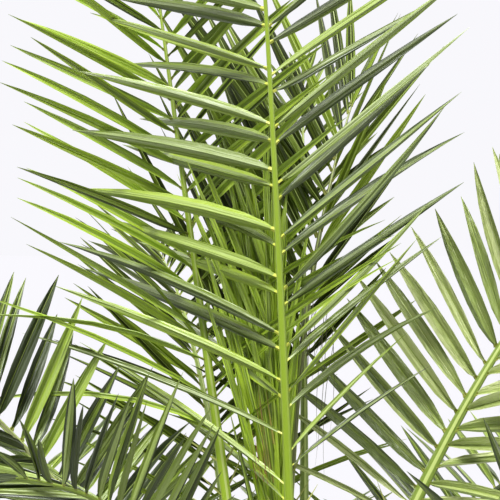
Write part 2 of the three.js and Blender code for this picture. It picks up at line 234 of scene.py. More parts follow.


# Tones of leaf skin from dark to bright: first those above, then those under. Fresh leaves
# are glossy and green, grown ones duller, and the skin of the fronds at the back is darker
# still: painted shade. Sleek ones are as dark but glossy, and waxy ones have a grey bloom.
LEAF_TONES = {
    "fresh": (
        ((0.062, 0.09, 0.011), (0.2, 0.28, 0.03), (0.335, 0.465, 0.05), (0.43, 0.585, 0.053)),
        ((0.155, 0.205, 0.048), (0.23, 0.3, 0.075), (0.285, 0.375, 0.1), (0.32, 0.46, 0.047)),
    ),
    "grown": (
        ((0.05, 0.078, 0.008), (0.155, 0.215, 0.024), (0.235, 0.322, 0.038), (0.325, 0.44, 0.045)),
        ((0.108, 0.144, 0.034), (0.182, 0.236, 0.068), (0.24, 0.303, 0.102), (0.285, 0.375, 0.078)),
    ),
    # Painted shade: darker tones for the fronds at the back.
    "shaded": (
        ((0.034, 0.048, 0.006), (0.08, 0.112, 0.012), (0.155, 0.215, 0.024), (0.25, 0.34, 0.042)),
        ((0.04, 0.055, 0.009), (0.09, 0.122, 0.018), (0.17, 0.225, 0.036), (0.26, 0.34, 0.06)),
    ),
    "sleek": (
        ((0.03, 0.048, 0.006), (0.085, 0.125, 0.012), (0.175, 0.245, 0.026), (0.27, 0.365, 0.055)),
        ((0.045, 0.065, 0.01), (0.105, 0.145, 0.022), (0.195, 0.258, 0.048), (0.3, 0.385, 0.105)),
    ),
    "waxy": (
        ((0.14, 0.185, 0.048), (0.3, 0.375, 0.105), (0.45, 0.53, 0.19), (0.6, 0.67, 0.31)),
        ((0.21, 0.26, 0.085), (0.38, 0.45, 0.155), (0.54, 0.605, 0.28), (0.64, 0.7, 0.38)),
    ),
}
TONE_COUNT = 4
SKIN_GLOSS = {"upper": 0.30, "under": 0.38}
SKIN_SHEEN = {"fresh": 0.85, "grown": 0.7, "shaded": 0.2, "sleek": 0.7, "waxy": 0.85}
SKIN_GRAIN = {"waxy": (380, 30, 1)}
VEIN_GRAIN = (230, 3, 1)  # of the other skins
leaf_skins = {
    skin_kind: [leaf_material(f"{skin_kind}_leaf_{face}_{step}", tone, gloss, SKIN_SHEEN[skin_kind],
                        SKIN_GRAIN.get(skin_kind, VEIN_GRAIN))
          for (face, gloss), tones in zip(SKIN_GLOSS.items(), faces)
          for step, tone in enumerate(tones)]
    for skin_kind, faces in LEAF_TONES.items()
}
midrib = plain_material("leaf_midrib", (0.34, 0.42, 0.11), 0.45)
leaflet_feet = {
    "young": plain_material("young_foot", (0.50, 0.53, 0.09), 0.45),
    "grown": plain_material("grown_foot", (0.26, 0.28, 0.06), 0.5),
}
MIDRIB, FOOT = 8, 9  # places of the midrib and foot after a leaf's eight skin tones
rib_skins = {
    "bright": rib_material("rib_green", (0.285, 0.400, 0.032), 0.4),
    "grown": rib_material("rib_grown", (0.190, 0.262, 0.040), 0.4),
    "dull": rib_material("rib_dull", (0.185, 0.200, 0.085), 0.5),
}
# Pale green of painted highlight along the rib's ridge and edges.
rib_highlight = plain_material("rib_highlight", (0.42, 0.50, 0.16), 0.4)
rib_flank = rib_material("rib_flank", (0.320, 0.430, 0.068), 0.4)
pot_plastic = mottled_material(
    "pot_plastic", (0.075, 0.078, 0.080), (0.095, 0.098, 0.100), 0.6, 220, 0.25 * MM)
potting_soil = mottled_material(
    "potting_soil", (0.020, 0.012, 0.008), (0.060, 0.038, 0.024), 0.95, 260, 1.5 * MM)
GRAIN_TONES = {
    "grain_dark": (0.022, 0.014, 0.009),
    "grain_brown": (0.075, 0.044, 0.024),
    "grain_grey": (0.16, 0.15, 0.13),
}
grain_materials = [add_relief(plain_material(name, tone, 0.9), (900,) * 3, 0.5, 0.5 * MM, "Object")
                   for name, tone in GRAIN_TONES.items()]
dry_husk = mottled_material(
    "dry_husk", (0.105, 0.062, 0.032), (0.230, 0.150, 0.085), 0.85, 120, 0.8 * MM)
cut_face = mottled_material(
    "cut_face", (0.330, 0.235, 0.140), (0.420, 0.320, 0.200), 0.8, 300, 0.5 * MM)
brown_fibre = plain_material("stem_fibre", (0.165, 0.090, 0.045), 0.8)
red_fibre = plain_material("young_fibre", (0.26, 0.15, 0.06), 0.7)
dry_thread = plain_material("leaf_thread", (0.10, 0.10, 0.06), 0.6)
spine_skin = add_relief(
    plain_material("stalk_spine", (0.42, 0.44, 0.14), 0.45), (500, 6, 1), 0.5, 0.4 * MM)

# ------------ how pieces are made


def draws(piece, number=0):
    """Random draws that are the same each time for the same piece."""
    return np.random.default_rng(SEEDS[piece] + number)


def clear_selection():
    bpy.ops.object.select_all(action="DESELECT")


def edit_mesh(select_mode):
    modes = [select_mode == mode for mode in ("vertex", "edge", "face")]
    bpy.context.tool_settings.mesh_select_mode = modes
    bpy.ops.object.mode_set(mode="EDIT")


def divide_along(piece, axis, cuts):
    """Divides the edges that run the length of a solid along one axis, and its faces."""
    vertices = piece.data.vertices
    for edge in piece.data.edges:
        first, last = (vertices[i].co[axis] for i in edge.vertices)
        edge.select = abs(first - last) > 0.5
    for face in piece.data.polygons:
        face.select = False
    edit_mesh("edge")
    bpy.ops.mesh.subdivide(number_cuts=cuts)
    bpy.ops.object.mode_set(mode="OBJECT")


def face_outwards():
    """Turns all faces of the mesh in edit mode outwards and leaves edit mode."""
    bpy.ops.mesh.select_all(action="SELECT")
    bpy.ops.mesh.normals_make_consistent(inside=False)
    bpy.ops.object.mode_set(mode="OBJECT")


def make_active(piece):
    clear_selection()
    piece.select_set(True)
    bpy.context.view_layer.objects.active = piece


def apply_bevel(piece, width, angle):
    bevel = piece.modifiers.new("bevel", "BEVEL")
    bevel.width = width
    bevel.segments = 3
    bevel.limit_method = "ANGLE"
    bevel.angle_limit = math.radians(angle)
    bpy.ops.object.modifier_apply(modifier="bevel")


def smooth_below(angle):
    """Smooth shading of the active piece, except at edges sharper than angle."""
    bpy.ops.object.shade_smooth_by_angle(angle=math.radians(angle))


def new_piece(name, vertices, faces, materials, slots):
    """A piece from lists, with a material number for each face."""
    mesh = bpy.data.meshes.new(name)
    mesh.from_pydata(vertices.tolist(), [], faces)
    for material in materials:
        mesh.materials.append(material)
    mesh.polygons.foreach_set("material_index", np.ascontiguousarray(slots, dtype=np.int32))
    piece = bpy.data.objects.new(name, mesh)
    bpy.context.scene.collection.objects.link(piece)
    return piece


def finish_piece(piece, name, slot, *nodes):
    piece.name = name
    piece.data.name = name
    if nodes:
        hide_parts(*nodes)
    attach(piece, "root")


def tube_pattern(sides, rings):
    """Faces of a closed tube cut into rings, with its vertices numbered ring by ring. It is
    modelled once here and placed many times from arrays."""
    clear_selection()
    bpy.ops.mesh.primitive_cylinder_add(vertices=sides, radius=1, depth=1)
    tube = bpy.context.object
    divide_along(tube, 2, rings - 1)
    coords = np.array([v.co for v in tube.data.vertices])
    turn = np.arctan2(coords[:, 1], coords[:, 0]) / (2 * math.pi) * sides
    corner = np.round(turn - turn[0]).astype(int) % sides
    ring = np.round((coords[:, 2] + 0.5) * rings).astype(int)
    number = ring * sides + corner
    faces = [[int(number[v]) for v in p.vertices] for p in tube.data.polygons]
    bpy.data.objects.remove(tube)
    return faces


def join_tubes(name, pattern, coords, uvs, slots, materials, smooth_angle):
    """One piece from many copies of a tube pattern. coords is (copies, rings + 1, sides, 3),
    uvs the same with 2, and slots gives a material number for each (copies, faces)."""
    per_copy = coords.shape[1] * coords.shape[2]
    faces = [[v + copy * per_copy for v in face] for copy in range(len(coords))
             for face in pattern]
    piece = new_piece(name, coords.reshape(-1, 3), faces, materials, slots.reshape(-1))
    mesh = piece.data
    loop_vertices = np.zeros(len(mesh.loops), dtype=np.int32)
    mesh.loops.foreach_get("vertex_index", loop_vertices)
    layer = mesh.uv_layers.new(name="surface")
    corner_uvs = uvs.reshape(-1, 2)[loop_vertices].astype(np.float32)
    layer.data.foreach_set("uv", corner_uvs.reshape(-1))
    make_active(piece)
    smooth_below(smooth_angle)
    return piece


# ------------ frond shape


def smooth(value):
    value = np.clip(value, 0, 1)
    return value * value * (3 - 2 * value)


def around(reach, turn, height):
    """Points at a distance and a direction from the plant's axis, and at a height."""
    points = np.broadcast_arrays(reach * np.cos(turn), reach * np.sin(turn), height)
    return np.stack(points, -1)


def unit(vectors):
    return vectors / np.linalg.norm(vectors, axis=-1, keepdims=True)


def turned(vectors, axes, angles):
    """Vectors turned about unit axes by angles in radians."""
    c, s = np.cos(angles)[..., None], np.sin(angles)[..., None]
    dot = (vectors * axes).sum(-1, keepdims=True)
    return vectors * c + np.cross(axes, vectors) * s + axes * dot * (1 - c)


def frond_axes(frond, places):
    """Directions at places along a frond: along the rib, across it, out of its upper face."""
    places = np.asarray(places, dtype=float)
    turn = (frond.heading - frond.seat + 180) % 360 - 180
    azimuth = np.radians(frond.seat + turn * smooth(places / TURN_DONE))
    low, high = frond.lean
    lean = np.radians(low + (high - low) * np.maximum(places, 0) ** frond.bend)
    outward = around(1, azimuth, 0)
    along = outward * np.sin(lean)[..., None] + UP * np.cos(lean)[..., None]
    face = UP * np.sin(lean)[..., None] - outward * np.cos(lean)[..., None]
    across = np.cross(along, face)
    roll = np.radians(frond.roll) * smooth(places / ROLL_DONE)
    return along, turned(across, along, roll), turned(face, along, roll)


def frond_path(frond):
    radius, height, _ = np.array(WHORLS[frond.whorl]) * MM
    seat = math.radians(frond.seat)
    foot = np.array([radius * math.cos(seat), radius * math.sin(seat), height])
    along, _, _ = frond_axes(frond, (np.arange(PATH_STEPS) + 0.5) / PATH_STEPS)
    return foot + np.vstack([np.zeros(3), np.cumsum(along * frond.length / PATH_STEPS, 0)])


def path_points(path, places):
    reach = np.clip(places, 0, 1) * PATH_STEPS
    steps = np.arange(PATH_STEPS + 1)
    return np.stack([np.interp(reach, steps, path[:, i]) for i in range(3)], -1)


# ------------ ribs and stalks

SHEATH_SPREAD = 5 * MM  # how much wider a stalk is where it clasps the stem
SHEATH_END = 0.09  # part of the frond's length by which it clasps no more
RIB_START, RIB_END = 6 * MM, 1 * MM  # half widths of the rib at the lowest and last leaflets
STALK_TAPER, RIB_TAPER = 0.7, 0.85  # powers: the taper is quickest near the foot
RIB_DEPTHS = (0.55, 0.72, 0.9)  # depth to width at the foot, the lowest leaflets and the tip
RIB_FLAT, RIB_RIDGE = 0.55, 0.45  # rise of the upper side at its edges, and more midway
RIB_SIDES = 12
RIB_RINGS = 44
# Corners of the pale strips, painted highlight along the rib's ridge and edges, and of the flanks
# along a rib.
RIB_HIGHLIGHTS = ({2, 3}, {0, 11}, {5, 6})
RIB_FLANKS = ({6, 7}, {7, 8}, {10, 11})
rib_pattern = tube_pattern(RIB_SIDES, RIB_RINGS)


def rib_half_width(frond, places):
    foot = WHORLS[frond.whorl][2] * MM
    joined = RIB_START * frond.stout
    stalk = foot + (joined - foot) * (places / frond.bare) ** STALK_TAPER
    stalk = stalk + SHEATH_SPREAD * (1 - smooth(places / SHEATH_END)) ** 2
    leafy = (places - frond.bare) / (1 - frond.bare)
    rib = joined + (RIB_END - joined) * np.clip(leafy, 0, 1) ** RIB_TAPER
    return np.where(places < frond.bare, stalk, rib)


def make_rib(frond):
    """Stalk and rib in one: flat-topped and wide at the foot, ridged above where the
    leaflets sit, and rounded below."""
    places = np.linspace(0, 1, RIB_RINGS + 1)
    along, across, face = frond_axes(frond, places)
    centre = path_points(frond_path(frond), places)
    half = rib_half_width(frond, places)
    depth = half * np.interp(places, (0, frond.bare, 1), RIB_DEPTHS)
    turn = np.arange(RIB_SIDES) * 2 * math.pi / RIB_SIDES
    x = np.cos(turn)
    z = np.sin(turn)
    z = np.where(z > 0, z * (RIB_FLAT + RIB_RIDGE * (1 - np.abs(x)) ** 0.5), z)
    coords = centre[:, None, :] + across[:, None, :] * (half[:, None] * x)[..., None]
    coords = coords + face[:, None, :] * (depth[:, None] * z)[..., None]
    uvs = np.stack([half[:, None] * turn, np.broadcast_to(
        (places * frond.length)[:, None], (RIB_RINGS + 1, RIB_SIDES))], -1)
    slots = np.zeros((1, len(rib_pattern)), dtype=int)
    for number, corners in enumerate(rib_pattern):
        found = {v % RIB_SIDES for v in corners}
        # The ridge and edge strips take the painted highlight.
        slots[0, number] = 1 if found in RIB_HIGHLIGHTS else 2 if found in RIB_FLANKS else 0
    name = f"{frond.name}_rib"
    piece = join_tubes(name, rib_pattern, coords[None], uvs[None], slots,
                       [rib_skins[frond.rib], rib_highlight, rib_flank], 50)
    if frond.name == "spear":
        finish_piece(piece, name, "stalk")
    else:
        finish_piece(piece, name, "stalk", f"{frond.name}_stalk")


# ------------ leaflets

LEAFLET_SIDES = 9
RING_PLACES = np.array([0, 0.022, 0.06, 0.17, 0.34, 0.54, 0.74, 0.90, 1.0])
# Half width of a leaflet along its length, as part of its widest.
RING_WIDTHS = np.array([0.30, 0.28, 0.60, 0.93, 1.0, 0.90, 0.64, 0.30, 0.02])
RING_DEPTHS = np.array([2.0, 1.8, 0.9, 0.6, 0.55, 0.5, 0.42, 0.32, 0.15]) * MM
# Fold of the two halves above the midrib, in degrees.
RING_FOLDS = np.array([20, 50, 58, 50, 44, 40, 38, 36, 34])
# Round the nine corners: left edge, left half, two by the midrib, right half, right edge,
# and under them right half, midrib, left half.
CORNER_REACH = np.array([-1, -0.55, 0, 0, 0.55, 1, 0.55, 0, -0.55])
CORNER_RIB = np.array([0, 0, -1, 1, 0, 0, 0, 0, 0])
CORNER_SIDE = np.array([0, 1, 1, 1, 1, 0, -1, -1, -1])
CORNER_CROWN = np.array([0, 1, 0, 0, 1, 0, 1, 0, 1])
MIDRIB_HALF = 0.45 * MM
MIDRIB_SHARE = 0.4  # the most of a leaflet's half width that its midrib takes up
HALF_CROWN = 0.10  # bulge of each half, as part of its width
THIN_START = 0.4  # a narrow leaflet is thinner too, down to this part of the full depth
UPPER_STRIPS = [(0, 1), (1, 2), (3, 4), (4, 5)]
UNDER_STRIPS = [(5, 6), (6, 7), (7, 8), (0, 8)]
# Paler along the middle: partly the underside's own pale tone, partly a painted sheen streak.
UNDER_PALE_SHEEN = np.array([0, 4, 4, 0])  # paler along the middle, green towards both edges
STRIP_SHARES = (0.32, 0.36, 0.32)  # of strips darker than, as, and lighter than their leaflet

PAIR_STAGGER, PAIR_SCATTER = 0.12, 0.1  # parts of a pitch that pairs are moved along the rib
FIRST_PLACE, LAST_PLACE = 0.002, 0.995
PAIR_SPLAY = 3.5  # degrees that the upper of a pair closes and the lower opens
# How far single leaflets differ: degrees for angles, and parts of the length or width.
ANGLE_SCATTER, LIFT_SCATTER, TWIST_SCATTER, BOW_SCATTER = 3.0, 5, 22, 0.022
LENGTH_RANGE, WIDTH_RANGE, SAG_RANGE = (0.88, 1.04), (0.82, 1.1), (0.6, 1.4)
LOW_NARROWING = 0.45  # part by which the very lowest leaflets are narrower
SEATING = 0.75  # part of the rib's half width at which leaflets start
GRAIN_SHIFT = 5  # metres that the vein pattern is moved at most from leaflet to leaflet


def leaflet_faces():
    """Faces of one leaflet. Each starts at its outer corner nearest the foot, so that the
    upper and under skin are split along the same lines and never cross."""
    def outer_first(vertex):
        return vertex // LEAFLET_SIDES, -abs(CORNER_REACH[vertex % LEAFLET_SIDES])

    faces = []
    for face in tube_pattern(LEAFLET_SIDES, len(RING_PLACES) - 1):
        start = face.index(min(face, key=outer_first))
        faces.append(face[start:] + face[:start])
    return faces


leaflet_pattern = leaflet_faces()


def by_side(side, pair):
    """The first value of a pair on one side of the rib, the second on the other."""
    return np.where(side > 0, pair[1], pair[0])


def leaflet_rows(frond, rng):
    """Places along the blade, side and place in its pair of each of a frond's leaflets."""
    leafy = frond.length * (1 - frond.bare)
    pairs = int(round(leafy / (frond.pitch * MM)))
    rows = []
    for side in (-1, 1):
        for pair in range(pairs):
            moved = rng.uniform(-PAIR_SCATTER, PAIR_SCATTER)
            centre = (pair + 0.5 + PAIR_STAGGER * side + moved) / pairs
            for member in (-1, 1):
                part = centre + member * 0.5 * frond.gap * MM / leafy
                part = np.clip(part, FIRST_PLACE, LAST_PLACE)
                missing = by_side(side, frond.sparse) * (1 - smooth(part / frond.sparse_to))
                if rng.uniform() >= missing:
                    rows.append((part, side, member))
    return np.array(rows)


def leaflet_directions(frond, rows, axes, rng):
    """Which way each leaflet points, and which way its upper face looks."""
    part, side, member = rows.T
    along, across, face = axes
    count = len(rows)
    foot_angle, tip_angle, late = frond.spread
    angle = foot_angle + (tip_angle - foot_angle) * part ** late + frond.skew * side
    angle = angle - TIP_CLOSING * smooth((part - TIP_START) / (1 - TIP_START))
    angle = np.radians(angle - PAIR_SPLAY * member + rng.normal(0, ANGLE_SCATTER, count))
    lift = np.where(member > 0, *frond.lifts) + rng.normal(0, LIFT_SCATTER, count)
    lift = np.radians(lift)
    outward = across * side[:, None]
    heading = along * np.cos(angle)[:, None] + outward * (np.sin(angle) * np.cos(lift))[:, None]
    heading = unit(heading + face * (np.sin(angle) * np.sin(lift))[:, None])
    normal = face - heading * (face * heading).sum(-1, keepdims=True)
    turn = np.radians(rng.normal(0, frond.tumble, count))
    return heading, turned(unit(normal), heading, turn)


def leaflet_forms(frond, rows, low, rng):
    """Length, width, droop, sideways bow, twist and fold of each leaflet. low is 1 for the
    lowest leaflets and 0 for those that are past them."""
    part, side, _ = rows.T
    count = len(rows)
    size = np.interp(part, LENGTH_PLACES, LENGTH_PARTS)
    length = LEAFLET_LENGTH * frond.leaflet * size * rng.uniform(*LENGTH_RANGE, count)
    length = length * (1 + low * by_side(side, frond.long_low)) * by_side(side, frond.short)
    width = LEAFLET_WIDTH * frond.width * (0.5 + 0.5 * size) * rng.uniform(*WIDTH_RANGE, count)
    width = width * (1 - LOW_NARROWING * low) * by_side(side, frond.broad)
    droop = by_side(side, frond.sag) * rng.uniform(*SAG_RANGE, count)
    droop = droop + frond.weep * low * rng.uniform(0, 1, count) ** 3
    bow = rng.normal(0, BOW_SCATTER, count)
    twist = np.radians(rng.normal(0, TWIST_SCATTER, count))
    fold = rng.uniform(*frond.fold, count)
    return length, width, droop, bow, twist, fold


def leaflet_coords(foot, heading, normal, length, width, droop, bow, twist, fold):
    """Vertices of many leaflets at once, (leaflets, rings, corners, 3), and how far each
    lies to the side of its midrib."""
    t = RING_PLACES[None, :, None]
    down = -UP - heading * (heading @ -UP)[:, None]
    sag = (droop * length)[:, None, None] * t ** 2 * down[:, None, :]
    aside = np.cross(heading, normal)[:, None, :] * bow[:, None, None]
    line = foot[:, None, :] + heading[:, None, :] * (length[:, None, None] * t) + sag
    line = line + aside * length[:, None, None] * t ** 2
    tangent = unit(heading[:, None, :] + 2 * t * (droop[:, None, None] * down[:, None, :] + aside))
    n = normal[:, None, :] - tangent * (normal[:, None, :] * tangent).sum(-1, keepdims=True)
    n = turned(unit(n), tangent, twist[:, None] * RING_PLACES[None, :])
    w = np.cross(tangent, n)
    half = 0.5 * width[:, None] * RING_WIDTHS[None, :]
    lift = np.radians(RING_FOLDS)[None, :] * fold[:, None]
    rib = np.minimum(MIDRIB_HALF, half * MIDRIB_SHARE)
    reach = (half * np.cos(lift))[..., None] * CORNER_REACH + rib[..., None] * CORNER_RIB
    thinness = np.minimum(1, THIN_START + width / LEAFLET_WIDTH)
    depth = RING_DEPTHS[None, :] * thinness[:, None]
    rise = (half * np.sin(lift))[..., None] * np.abs(CORNER_REACH)
    rise = rise + 0.5 * depth[..., None] * CORNER_SIDE
    rise = rise + (half * HALF_CROWN)[..., None] * CORNER_CROWN
    coords = line[:, :, None, :] + w[:, :, None, :] * reach[..., None]
    return coords + n[:, :, None, :] * rise[..., None], half[..., None] * CORNER_REACH


def strip_tones(shade, strips, streak, rng):
    """A tone for each strip of a leaflet: its own shade, or lighter or darker by streak."""
    steps = rng.choice((-1, 0, 1), (len(shade), strips), p=STRIP_SHARES)
    return np.clip(shade[:, None] + streak * steps, 0, TONE_COUNT - 1)


def leaflet_face_slots(upper, under):
    """Material number of each face: foot, midrib, and the strips of upper and lower skin.
    upper and under give (leaflets, strips)."""
    slots = np.zeros((len(upper), len(leaflet_pattern)), dtype=int)
    for number, face in enumerate(leaflet_pattern):
        last_ring = max(v // LEAFLET_SIDES for v in face)
        corners = {v % LEAFLET_SIDES for v in face}
        if last_ring <= 1:
            slots[:, number] = FOOT
        elif corners == {2, 3} or len(corners) == LEAFLET_SIDES:
            slots[:, number] = MIDRIB
        elif corners & {6, 7, 8}:
            slots[:, number] = under[:, UNDER_STRIPS.index(tuple(sorted(corners)))]
        else:
            slots[:, number] = upper[:, UPPER_STRIPS.index(tuple(sorted(corners)))]
    return slots


def leaflet_slots(frond, rows, low, rng):
    """Material number of each face: every leaflet has a tone of its own above and under."""
    _, side, member = rows.T
    count = len(rows)
    # The lower of a pair is darker: painted shade where it stands back in the other's shadow.
    darker = frond.behind * (member < 0)
    shade = rng.choice(TONE_COUNT, count, p=frond.tones) - darker
    # Some of the lowest leaflets take the brightest tone: a painted glow, as of light shining
    # through them.
    bright_low = rng.uniform(size=count) < low * by_side(side, frond.glow)
    shade = np.where(bright_low, TONE_COUNT - 1, shade)
    upper = strip_tones(shade, len(UPPER_STRIPS), frond.streak, rng)
    shade = rng.choice(TONE_COUNT, count, p=frond.tones) - darker
    shade = np.where(bright_low, TONE_COUNT - 1, shade)
    # The middle strips of the underside take its pale tones, partly a painted sheen streak.
    under = UNDER_PALE_SHEEN + strip_tones(shade, len(UNDER_STRIPS), frond.streak, rng)
    return leaflet_face_slots(upper, under)


def dress_frond(number, frond):
    """All leaflets of a frond as one piece."""
    rng = draws("leaflets", number)
    rows = leaflet_rows(frond, rng)
    part, side, _ = rows.T
    low = 1 - smooth(part / max(frond.narrow, 0.01))
    place = frond.bare + (1 - frond.bare) * part
    axes = frond_axes(frond, place)
    heading, normal = leaflet_directions(frond, rows, axes, rng)
    length, *form = leaflet_forms(frond, rows, low, rng)
    seating = (rib_half_width(frond, place) * SEATING)[:, None]
    foot = path_points(frond_path(frond), place) + axes[1] * side[:, None] * seating
    coords, reach = leaflet_coords(foot, heading, normal, length, *form)
    lengthwise = RING_PLACES[None, :, None] * length[:, None, None]
    uvs = np.stack([reach, np.broadcast_to(lengthwise, reach.shape)], -1)
    uvs[..., 1] += rng.uniform(0, GRAIN_SHIFT, len(rows))[:, None, None]
    slots = leaflet_slots(frond, rows, low, rng)
    materials = [*leaf_skins[frond.skin], midrib, leaflet_feet[frond.foot]]
    name = f"{frond.name}_leaflets"
    piece = join_tubes(name, leaflet_pattern, coords, uvs, slots, materials, 25)
    if frond.name == "spear":
        finish_piece(piece, name, "young_leaf", "spear")
    else:
        blades = [f"{frond.name}_blade_{half}" for half in ("inner", "outer")]
        finish_piece(piece, name, "leaf", *blades)


# ------------ pot and soil

POT_FOOT, POT_TOP = 100 * MM, 132 * MM  # radii of the wall at the ground and at the rim
POT_WALL, POT_FLOOR = 4 * MM, 6 * MM
POT_CHAMFER = 3 * MM
LIP_HEIGHT, LIP_PROUD = 26 * MM, 5 * MM
POT_SIDES = 96
SOIL_SIDES, SOIL_RINGS = 72, 16
SOIL_DEPTH = 60 * MM
SOIL_TAPER = 0.92  # width of its underside to that of its top
SOIL_SETTLED, SOIL_FALL = 4 * MM, 3 * MM  # under the frame's level, and further at the wall
LUMP_SIZE, LUMP_HEIGHT = 60 * MM, 3.0  # heights in millimetres
CRUMB_SIZE, CRUMB_HEIGHT = 17 * MM, 2.2
WAVES = 7
GRAINS = 1500
GRAIN_SHARES = (0.55, 0.38, 0.07)
CLEAR_MIDDLE = 0.16  # part of the soil's area, under the stem, that has no grains


def wave_relief(points, size, piece):
    """Uneven relief from -1 to 1 at points: seeded waves about one size apart."""
    rng = draws(piece)
    total = np.zeros(points.shape[:-1])
    for _ in range(WAVES):
        direction = unit(rng.normal(size=3))
        pace = 2 * math.pi / size * rng.uniform(0.6, 1.7)
        total = total + np.sin(points @ direction * pace + rng.uniform(0, 2 * math.pi))
    return total / WAVES


def make_pot():
    """A plain round grower's pot with a straight lip, moulded in one with a chamfered foot."""
    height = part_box("pot")[1][2]
    lip_foot = height - LIP_HEIGHT
    wall_at_lip = POT_FOOT + (POT_TOP - POT_FOOT) * lip_foot / height
    radius = POT_FOOT - POT_CHAMFER
    clear_selection()
    bpy.ops.mesh.primitive_circle_add(vertices=POT_SIDES, radius=radius, fill_type="NGON",
                                      location=(0, 0, 0))
    pot = bpy.context.object
    edit_mesh("face")
    bpy.ops.mesh.select_all(action="SELECT")
    for up, reach in (
        (POT_CHAMFER, POT_FOOT),
        (lip_foot - POT_CHAMFER, wall_at_lip),
        (0, POT_TOP + LIP_PROUD),
        (LIP_HEIGHT, POT_TOP + LIP_PROUD),
        (0, POT_TOP - POT_WALL),
        (POT_FLOOR - height, POT_FOOT - POT_WALL),
    ):
        bpy.ops.mesh.extrude_region_move(TRANSFORM_OT_translate={"value": (0, 0, up)})
        widen = reach / radius
        bpy.ops.transform.resize(value=(widen, widen, 1), center_override=(0, 0, 0))
        radius = reach
    face_outwards()
    apply_bevel(pot, 1.4 * MM, 30)
    smooth_below(35)
    pot.data.materials.append(pot_plastic)
    finish_piece(pot, "grower_pot", "pot", "pot")


def soil_height(points, top):
    """Lumpy soil that falls a little towards the pot wall."""
    reach = np.hypot(points[..., 0], points[..., 1]) / POT_TOP
    lumps = LUMP_HEIGHT * wave_relief(points, LUMP_SIZE, "soil_lumps")
    lumps = lumps + CRUMB_HEIGHT * wave_relief(points, CRUMB_SIZE, "soil_crumbs")
    return top - SOIL_SETTLED + lumps * MM - SOIL_FALL * reach ** 3


def make_soil():
    """Soil with a lumpy top. Gives its radius and the level of its top."""
    radius, _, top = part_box("soil")[1]
    middle = top - SOIL_DEPTH / 2
    clear_selection()
    bpy.ops.mesh.primitive_cylinder_add(vertices=SOIL_SIDES, radius=radius, depth=SOIL_DEPTH,
                                        end_fill_type="NGON", location=(0, 0, middle))
    soil = bpy.context.object
    bpy.ops.object.transform_apply(location=True)
    for vertex in soil.data.vertices:
        if vertex.co.z < middle:
            vertex.co.x *= SOIL_TAPER
            vertex.co.y *= SOIL_TAPER
    for face in soil.data.polygons:
        face.select = face.normal.z > 0.9
    edit_mesh("face")
    for _ in range(SOIL_RINGS):
        bpy.ops.mesh.inset(thickness=radius / (SOIL_RINGS + 1))
    bpy.ops.object.mode_set(mode="OBJECT")
    finer = soil.modifiers.new("finer", "SUBSURF")
    finer.subdivision_type = "SIMPLE"
    finer.levels = finer.render_levels = 1
    bpy.ops.object.modifier_apply(modifier="finer")
    points = np.array([v.co for v in soil.data.vertices])
    for vertex, height in zip(soil.data.vertices, soil_height(points, top)):
        if vertex.co.z > top - 1 * MM:
            vertex.co.z = height
    bpy.ops.object.shade_smooth()
    soil.data.materials.append(potting_soil)
    finish_piece(soil, "soil_surface", "soil", "soil")
    return radius, top


def grain_pattern():
    """One small uneven grain: its vertices and faces."""
    clear_selection()
    bpy.ops.mesh.primitive_ico_sphere_add(subdivisions=1, radius=1)
    grain = bpy.context.object
    edit_mesh("vertex")
    bpy.ops.mesh.select_all(action="SELECT")
    bpy.ops.transform.vertex_random(offset=0.35, seed=SEEDS["grain_shape"])
    bpy.ops.transform.resize(value=(1, 0.8, 0.65), center_override=(0, 0, 0))
    bpy.ops.object.mode_set(mode="OBJECT")
    shape = np.array([v.co for v in grain.data.vertices])
    faces = np.array([list(p.vertices) for p in grain.data.polygons])
    bpy.data.objects.remove(grain)
    return shape, faces


def make_soil_grains(radius, top):
    """Bark, fibre and grit on the soil: turned and scaled copies of one grain."""
    rng = draws("soil_grains")
    shape, faces = grain_pattern()
    reach = (radius - 4 * MM) * np.sqrt(rng.uniform(CLEAR_MIDDLE, 1, GRAINS))
    turn = rng.uniform(0, 2 * math.pi, GRAINS)
    centres = around(reach, turn, top)
    centres[:, 2] = soil_height(centres, top)
    sizes = rng.gamma(3.0, 0.7, GRAINS) * MM + 0.8 * MM
    slots = rng.choice(len(GRAIN_SHARES), GRAINS, p=GRAIN_SHARES)
    turns = rng.uniform(0, 6.28, GRAINS)
    c, s = np.cos(turns)[:, None], np.sin(turns)[:, None]
    x, y, z = (shape[None, :, i] * sizes[:, None] for i in range(3))
    coords = np.stack([x * c - y * s, x * s + y * c, z], -1) + centres[:, None, :]
    offsets = np.arange(GRAINS)[:, None, None] * len(shape)
    piece = new_piece("soil_grains", coords.reshape(-1, 3),
                      (faces[None] + offsets).reshape(-1, 3).tolist(),
                      grain_materials, np.repeat(slots, len(faces)))
    finish_piece(piece, "soil_grains", "soil")


# ------------ stem

STEM_PROFILE = ((0, 60), (20, 52), (48, 49), (68, 42), (84, 31), (96, 16))  # height, radius, mm
STEM_SIDES, STEM_RINGS = 60, 30
CORE_INSET = 3 * MM
STEM_LUMP_DEPTH, STEM_RIDGE_DEPTH = 1.5 * MM, 0.8 * MM
STEM_RIDGES = 17
BASE_CUTS = 5
# Rows of leaf bases: height in millimetres, how many, and the first one's side in degrees.
BASE_ROWS = ((0, 9, 0), (11, 8, 24), (24, 8, 47), (35, 7, 12))
BASE_LEAN = 14  # degrees outwards


def stem_radius(above_soil):
    heights, radii = zip(*STEM_PROFILE)
    return np.interp(above_soil / MM, heights, radii) * MM


